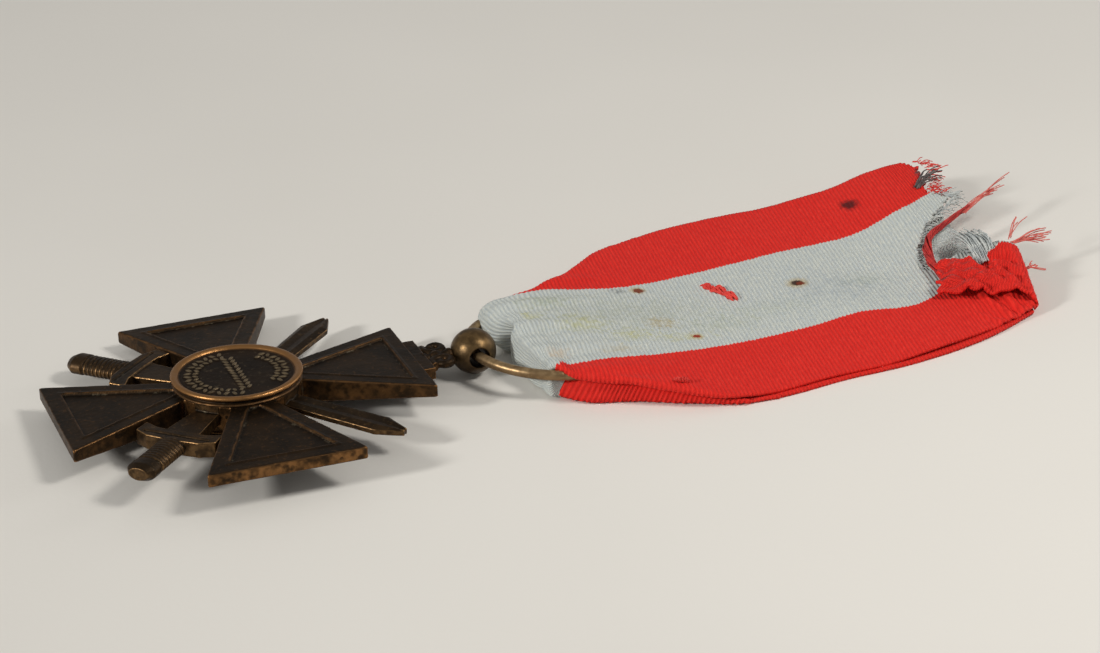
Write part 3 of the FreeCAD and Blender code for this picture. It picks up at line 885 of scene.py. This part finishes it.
def ribbon_mesh():
    upper, past = with_turned_corner(upper_ply())
    sheet = np.concatenate([upper, fold_rows(), lower_ply()])
    rows, columns = sheet.shape[:2]
    index = np.arange(rows * columns).reshape(rows, columns)
    quads = np.stack([index[:-1, :-1], index[:-1, 1:], index[1:, 1:], index[1:, :-1]], -1)
    quads = quads[kept_faces(rows, past)]
    points = sheet.reshape(-1, 3)
    used = np.zeros(len(points), bool)
    used[quads.ravel()] = True
    renumber = np.cumsum(used) - 1
    obj = mesh_object("ribbon", points[used], renumber[quads])
    mesh = obj.data
    n = normals(mesh)
    co = coords(mesh)
    ridge = np.where((np.repeat(np.arange(rows), columns)[used] % 2) == 0, 1.0, -1.0)
    co += n * (0.024 * ridge)[:, None]
    slub = np.array([noise.fractal(Vector((p[0] * 0.35, p[1] * 0.35, p[2])), 0.8, 2.0, 3) for p in co])
    co += n * (0.05 * slub)[:, None]
    set_coords(mesh, co)
    vector_attribute(mesh, "cloth", woven_places(sheet)[used])
    vector_attribute(mesh, "lay", points[used])
    return thickened(obj)


RED = srgb(238, 50, 39)
RED_DEEP = srgb(220, 38, 30)
RED_LIGHT = srgb(245, 82, 66)
PALE = srgb(208, 211, 201)
PALE_COOL = srgb(188, 196, 197)
PALE_LIGHT = srgb(224, 225, 216)


YELLOW, GREEN, OCHRE = srgb(190, 188, 124), srgb(150, 160, 120), srgb(178, 152, 84)
RUST, BLACK = srgb(120, 52, 30), srgb(52, 26, 24)
# Each faint stain: x, y, half its length and width, tone and strength
FAINT_STAINS = (
    (31.5, 2.2, 2.2, 1.6, YELLOW, 0.65), (36.8, 0.0, 3.4, 2.6, YELLOW, 0.60),
    (34.0, 5.0, 5.5, 2.0, GREEN, 0.40), (41.4, -3.1, 3.6, 2.0, YELLOW, 0.70),
    (45.2, -0.8, 2.2, 1.6, OCHRE, 0.70), (46.3, -3.9, 4.4, 1.3, YELLOW, 0.60),
    (32.0, -5.6, 2.8, 1.2, srgb(200, 178, 150), 0.55), (52.0, -2.0, 6.0, 2.4, GREEN, 0.25),
    (58.0, 0.0, 7.0, 2.2, GREEN, 0.20), (70.0, 3.0, 4.0, 2.0, GREEN, 0.22),
    (38.5, -5.8, 3.0, 1.0, OCHRE, 0.30), (43.1, 6.3, 1.5, 0.9, srgb(112, 116, 116), 0.7),
    (42.0, 1.5, 15.0, 5.5, srgb(158, 164, 140), 0.35),
    (66.0, 2.0, 9.0, 5.0, srgb(150, 160, 168), 0.35))
# Small burns and rust spots: x, y, radius and tone, first their ochre rims
SPOT_RIMS = ((45.4, 6.3, 1.0, OCHRE), (63.0, 4.1, 1.35, OCHRE), (48.0, -4.0, 0.8, OCHRE))
SPOTS = ((45.5, 6.2, 0.62, RUST), (63.0, 4.1, 0.72, BLACK), (63.3, 3.9, 0.50, RUST),
         (48.0, -4.0, 0.42, srgb(150, 44, 28)))


def cloth_material():
    """Ribbed silk in three stripes. "cloth" holds the place along and across it and whether it is
    the upper ply, and "lay" where it lies, for the stains."""
    m = Nodes("striped_ribbon")
    cloth, part = m.attribute("cloth")
    lay, _ = m.attribute("lay")
    along, over, upper = part[0], part[1], part[2]
    wobble = m.math("MULTIPLY", m.math("SUBTRACT", m.noise(cloth, 1.4, 3.0), 0.5), 0.35)
    tooth = m.math("MULTIPLY", m.math("SINE", m.math("MULTIPLY", along, math.tau / RIB)), 0.07)
    edge = m.math("ADD", m.math("ADD", over, wobble), tooth)
    past_near = m.band(edge, STRIPE_NEAR - 0.07, STRIPE_NEAR + 0.07)
    past_far = m.band(edge, STRIPE_FAR - 0.07, STRIPE_FAR + 0.07)
    pale = m.math("MULTIPLY", past_near, m.math("SUBTRACT", 1.0, past_far))

    rib_wave = m.math("COSINE", m.math("MULTIPLY", along, math.tau / RIB))
    slanting = m.math("ADD", over, m.math("MULTIPLY", along, 0.28))
    strand = m.math("SINE", m.math("MULTIPLY", slanting, math.tau / 0.17))
    # The troughs between the ribs, where the colour below is darkened as painted shade.
    hollow = m.band(rib_wave, -0.1, -0.95)
    fleck = m.new("ShaderNodeVectorMath", operation="MULTIPLY")
    m.link(cloth, fleck.inputs[0])
    fleck.inputs[1].default_value = (5.0, 0.9, 1.0)
    threads = m.noise(fleck.outputs[0], 1.6, 4.0, 0.65)
    patches = m.noise(cloth, 0.22, 4.0, 0.6)

    red = m.mix(m.band(threads, 0.35, 0.68), RED_DEEP, RED)
    red = m.mix(m.math("MULTIPLY", m.band(threads, 0.58, 0.8), 0.5), red, RED_LIGHT)
    red = m.mix(m.math("MULTIPLY", m.band(patches, 0.45, 0.7), 0.30), red, RED_DEEP)
    grey = m.mix(m.band(threads, 0.32, 0.66), PALE_COOL, PALE)
    grey = m.mix(m.math("MULTIPLY", m.band(threads, 0.55, 0.78), 0.7), grey, PALE_LIGHT)
    colour = m.mix(pale, red, grey)
    # Painted shade: the troughs between the ribs are darkened, to deep red in the red stripes and to
    # blue-grey in the pale one.
    colour = m.mix(m.math("MULTIPLY", hollow, m.lerp(pale, 0.34, 0.24)), colour,
                   m.mix(pale, srgb(140, 22, 18), srgb(108, 120, 128)))

    def spot(x, y, wide, deep, tone, strength, soft=0.5, warp=0.5):
        """A stain at a place on the upper ply. The most warped ones are mottled too."""
        nonlocal colour
        move = m.new("ShaderNodeVectorMath", operation="SUBTRACT")
        m.link(lay, move.inputs[0])
        move.inputs[1].default_value = (x, y, 0)
        split = m.new("ShaderNodeSeparateXYZ")
        m.link(move.outputs[0], split.inputs[0])
        a = m.math("DIVIDE", split.outputs[0], wide)
        b = m.math("DIVIDE", split.outputs[1], deep)
        d = m.math("SQRT", m.math("ADD", m.math("MULTIPLY", a, a), m.math("MULTIPLY", b, b)))
        d = m.math("ADD", d, m.math("MULTIPLY", m.math("SUBTRACT", m.noise(lay, 2.2, 3.0), 0.5), warp))
        mask = m.math("MULTIPLY", m.math("SUBTRACT", 1.0, m.band(d, 1 - soft, 1.0)), upper)
        if warp > 1:
            mask = m.math("MULTIPLY", mask, mottle)
        colour = m.mix(m.math("MULTIPLY", mask, strength), colour, tone)

    mottle = m.band(m.noise(cloth, 1.3, 4.0, 0.7), 0.40, 0.60)
    mottle = m.math("ADD", m.math("MULTIPLY", mottle, 0.75), 0.25)
    for x, y, wide, deep, tone, strength in FAINT_STAINS:
        spot(x, y, wide, deep, tone, strength, soft=0.9, warp=2.0)
    for x, y, size, tone in SPOT_RIMS:
        spot(x, y, size * 1.25, size * 1.05, tone, 0.6, soft=0.7, warp=0.5)
    for x, y, size, tone in SPOTS:
        spot(x, y, size * 1.2, size, tone, 0.95, soft=0.45, warp=0.5)
    spot(75.5, 17.9, 1.5, 1.5, srgb(66, 22, 22), 0.9, soft=0.75, warp=0.9)
    spot(86.0, 19.0, 2.2, 2.6, srgb(74, 66, 66), 0.85, soft=0.5, warp=1.2)
    m.link(colour, m.shader.inputs["Base Color"])
    m.shader.inputs["Roughness"].default_value = 0.72
    m.shader.inputs["Sheen Weight"].default_value = 0.06
    m.shader.inputs["Sheen Roughness"].default_value = 0.4
    m.shader.inputs["Specular IOR Level"].default_value = 0.15
    twist = m.bump(m.math("MULTIPLY", strand, m.band(rib_wave, -0.8, 0.6)), 0.30, 0.00002)
    fuzz = m.bump(threads, 0.35, 0.00004, twist)
    ribs = m.bump(rib_wave, 0.75, 0.00006, fuzz)
    m.link(ribs, m.shader.inputs["Normal"])
    return m.material


def thread_material(name, tone, light):
    m = Nodes(name)
    place = m.new("ShaderNodeTexCoord").outputs["Object"]
    fleck = m.band(m.noise(place, 900.0, 3.0), 0.3, 0.7)
    m.link(m.mix(fleck, tone, light), m.shader.inputs["Base Color"])
    m.shader.inputs["Roughness"].default_value = 0.75
    m.shader.inputs["Sheen Weight"].default_value = 0.05
    m.link(m.bump(m.noise(place, 4000.0, 2.0), 0.3, 0.00002), m.shader.inputs["Normal"])
    return m.material


CLOTH = cloth_material()
RED_THREAD = thread_material("red_thread", srgb(206, 46, 38), srgb(228, 70, 58))
DARK_RED_THREAD = thread_material("dark_red_thread", srgb(160, 32, 30), srgb(206, 48, 42))
DARK_THREAD = thread_material("dirty_thread", srgb(70, 62, 62), srgb(124, 116, 112))
PINK_THREAD = thread_material("faded_red_thread", srgb(206, 88, 78), srgb(222, 128, 116))
GREY_THREAD = thread_material("grey_thread", srgb(164, 170, 170), srgb(208, 211, 206))

ribbon = ribbon_mesh()
co = coords(ribbon.data)
faces_up = normals(ribbon.data)[:, 2] > 0.5
UPPER_SURFACE = co[faces_up & (co[:, 0] > 45) & (co[:, 0] < 80) & (co[:, 2] > 0.75)].T
final(ribbon, RIBBON, None, "striped_ribbon", CLOTH, "ribbon_fold", "ribbon_bend_upper",
      "ribbon_bend_lower", "ribbon_tail_upper", "ribbon_tail_lower", "ribbon_torn_end")
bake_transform(ribbon)


# ---- Loose threads and the tack stitch
def wandering(start, end, sag, random_source, spread=0.5, steps=14):
    """The path of one loose thread."""
    a, b = np.array(start, float), np.array(end, float)
    offset = np.array([random_source.uniform(-spread, spread) for _ in range(3)])
    phase = random_source.uniform(0, math.tau)
    path = []
    for i in range(steps + 1):
        t = i / steps
        p = a + (b - a) * t + offset * t
        p[1] += 0.18 * math.sin(phase + 5 * t) * t
        p[2] += sag * math.sin(math.pi * t) * 0.5 + 0.15 * math.sin(phase + 3.4 * t) * t
        path.append(p)
    return path


def thread_bundle(name, strands, seed, material, width=0.055):
    """Loose threads. Each of the strands is a root, a tip, a count, a spread and a sag."""
    source = random.Random(seed)
    parts = []
    for start, end, count, spread, sag in strands:
        for _ in range(count):
            tip = np.array(start) + (np.array(end) - np.array(start)) * source.uniform(0.55, 1.0)
            aside = [source.uniform(-0.35, 0.35), source.uniform(-0.35, 0.35), 0]
            root = np.array(start) + aside
            parts.append(tube(wandering(root, tip, sag, source, spread), width, 6))
    obj = joined(name, parts)
    return final(obj, RIBBON, "ribbon_tail", "striped_ribbon", material)


def pale_shred(i):
    root = (82.0 + 0.33 * i, -1.0 + 0.1 * i, 3.0)
    tip = (82.0 + 0.45 * i, 5.6 + 0.7 * math.sin(2.1 * i), 3.3)
    return root, tip, 9, 0.5, 1.6


long_threads = thread_bundle("loose_red_threads", (
    ((85.2, 9.6, 3.7), (94.6, 15.6, 4.3), 12, 0.6, 0.5),
    ((86.8, 0.2, 4.0), (92.4, 1.6, 3.9), 14, 0.6, 0.3),
    ((86.6, 1.0, 4.2), (90.0, 4.6, 4.8), 4, 0.6, 0.2),
    ((86.4, -3.4, 2.6), (88.4, -3.6, 2.6), 9, 0.5, 0.1)), 7, PINK_THREAD)
pale_shreds = thread_bundle("torn_pale_shreds", [pale_shred(i) for i in range(8)], 31, GREY_THREAD, 0.075)
dark_shreds = thread_bundle("torn_dark_shreds", (
    ((83.4, 17.0, 3.9), (86.6, 18.6, 4.5), 16, 0.9, 0.7),
    ((84.6, -0.2, 3.0), (84.9, 2.6, 3.2), 9, 0.4, 0.5)), 41, DARK_THREAD, 0.07)


def twisted(name, stations, strands, spread, seed, material):
    """A shred of cloth twisted into a loose cord."""
    source = random.Random(seed)
    stations = np.array(stations, float)
    t = np.linspace(0, 1, len(stations))
    fine = np.linspace(0, 1, 40)
    middle = np.stack([curve_through(fine, t, stations[:, k]) for k in range(3)], -1)
    parts = []
    for _ in range(strands):
        phase, out = source.uniform(0, math.tau), spread * math.sqrt(source.random())
        turns = source.uniform(0.8, 1.6)
        width = out * (0.45 + 0.55 * np.sin(math.pi * fine)) + 0.05
        around = phase + math.tau * turns * fine
        round_it = [width * np.cos(around), 0.4 * width * np.cos(around + 1), width * np.sin(around)]
        parts.append(tube(middle + np.stack(round_it, -1), 0.085, 6))
    return final(joined(name, parts), RIBBON, "ribbon_tail", "striped_ribbon", material)


red_shred = twisted("torn_red_shred", (
    (77.4, -2.2, 2.3), (78.0, 2.6, 2.5), (79.6, 6.4, 2.9), (82.4, 8.2, 3.4), (86.4, 10.4, 3.9)),
    22, 0.52, 17, DARK_RED_THREAD)
selvedge_tuft = twisted("selvedge_tuft", (
    (41.9, -12.7, 2.35), (42.5, -13.3, 2.60), (43.2, -13.4, 2.25)), 9, 0.24, 3, RED_THREAD)


def torn_fringe(seed=23):
    """Short threads along the upper ply's torn end, each with its place across the cloth."""
    source = random.Random(seed)
    threads = []
    for w in sorted([*np.arange(14.6, 35.9, 0.21), *np.arange(21.5, 27.5, 0.075)]):
        end_x = float(torn_reach(np.array([w]))[0])
        y, z, _ = across(np.array([min(end_x, END_X)]), np.array([w]), True)
        y, z = float(y[0, 0]), float(z[0, 0])
        root = (end_x - 0.5 + TEAR_SKEW * y, y, z)
        tip = (root[0] + source.uniform(0.5, 1.9), y + source.uniform(-0.7, 0.7),
               z + source.uniform(-0.5, 0.4))
        threads.append((w, tube(wandering(root, tip, 0.1, source, 0.25, 6), 0.05, 5)))
    return threads


fringe = torn_fringe()
grey_fringe = final(joined("torn_pale_fringe", [t for w, t in fringe if w < STRIPE_FAR]), RIBBON,
                    "ribbon_tail", "striped_ribbon", GREY_THREAD)
red_fringe = final(joined("torn_red_fringe", [t for w, t in fringe if w >= STRIPE_FAR]), RIBBON,
                   "ribbon_tail", "striped_ribbon", RED_THREAD)


def surface_height(x, y):
    """Top of the upper ply at a place on the ribbon, in millimetres."""
    return UPPER_SURFACE[2][np.argmin((UPPER_SURFACE[0] - x) ** 2 + (UPPER_SURFACE[1] - y) ** 2)]


def tack_stitch(seed=5):
    """Three small knots of thread, each of short arched strands sewn down side by side."""
    source = random.Random(seed)
    strands = []
    for knot_x, knot_y, size in ((53.3, 6.0, 0.85), (54.2, 4.9, 1.45), (55.0, 3.5, 1.3)):
        for _ in range(15):
            x = knot_x + source.uniform(-0.38, 0.38) * size
            y = knot_y + source.uniform(-0.42, 0.42) * size
            way = math.radians(source.uniform(-80, -35))
            length, high = source.uniform(0.5, 1.0) * size, source.uniform(0.20, 0.42)
            path = []
            for t in np.linspace(0, 1, 9):
                px = x + length * math.cos(way) * (t - 0.5)
                py = y + length * math.sin(way) * (t - 0.5)
                arch = high * math.sin(math.pi * t)
                path.append((px, py, surface_height(px, py) - 0.10 + arch))
            strands.append(tube(path, 0.13, 7))
    return joined("tack_stitch_thread", strands)


stitch = final(tack_stitch(), RIBBON, "ribbon_tail", "red_thread", RED_THREAD, "tack_stitch")


# ---- Floor, light and camera
def area_light(name, direction, distance, size, power, colour, aim=(0, 0, 0), spread=180):
    data = bpy.data.lights.new(name, "AREA")
    data.shape = "DISK"
    data.size = size
    data.energy = power
    data.color = colour
    data.spread = math.radians(spread)
    light = bpy.data.objects.new(name, data)
    bpy.context.scene.collection.objects.link(light)
    light.location = Vector(direction).normalized() * distance
    light.rotation_euler = (light.location - Vector(aim)).to_track_quat("Z", "Y").to_euler()
    return light


def paper():
    m = Nodes("pale_paper")
    place = m.new("ShaderNodeTexCoord").outputs["Object"]
    tone = m.band(m.noise(place, 9.0, 3.0), 0.3, 0.7)
    m.link(m.mix(tone, srgb(226, 223, 216), srgb(231, 228, 221)), m.shader.inputs["Base Color"])
    m.shader.inputs["Roughness"].default_value = 0.85
    m.shader.inputs["Specular IOR Level"].default_value = 0.15
    m.link(m.bump(m.noise(place, 1500.0, 3.0), 0.15, 0.0001), m.shader.inputs["Normal"])
    return m.material


def room_light(strength, colour):
    world = bpy.data.worlds.new("room")
    world.use_nodes = True
    background = world.node_tree.nodes["Background"]
    background.inputs[0].default_value = colour
    background.inputs[1].default_value = strength
    bpy.context.scene.world = world


def set_camera(place, right, upward, lens):
    """right and upward are the picture's own directions."""
    data = bpy.data.cameras.new("camera")
    data.sensor_width = 36.0
    data.lens = lens
    data.clip_start = 0.01
    camera = bpy.data.objects.new("camera", data)
    bpy.context.scene.collection.objects.link(camera)
    right, upward = Vector(right), Vector(upward)
    turn = Matrix((right, upward, right.cross(upward))).transposed().to_4x4()
    camera.matrix_world = Matrix.Translation(place) @ turn
    bpy.context.scene.camera = camera


FLOOR_HALF = 2.0
floor_corners = [(FLOOR_HALF * s, FLOOR_HALF * t, 0) for s, t in ((-1, -1), (1, -1), (1, 1), (-1, 1))]
floor = mesh_object("floor", floor_corners, [(0, 1, 2, 3)])
floor.location.z = -0.00002
floor.data.materials.append(paper())

area_light("key", (0.67, -0.49, 1.0), 0.42, 0.11, 0.30, (1.0, 0.97, 0.93), aim=(0.07, -0.06, 0), spread=110)
area_light("side", (-2.05, -0.45, 1.0), 0.9, 0.13, 4.4, (1.0, 0.985, 0.96))
area_light("low", (1.5, 0.2, 0.55), 1.0, 0.4, 0.9, (1.0, 0.98, 0.95))
room_light(0.27, (1.0, 0.99, 0.98, 1))
bpy.context.scene.view_settings.view_transform = "Standard"
set_camera(place=(-0.10262, -0.28285, 0.15744), right=(0.93826, -0.34581, -0.00908),
           upward=(0.16586, 0.42667, 0.88907), lens=106.6)
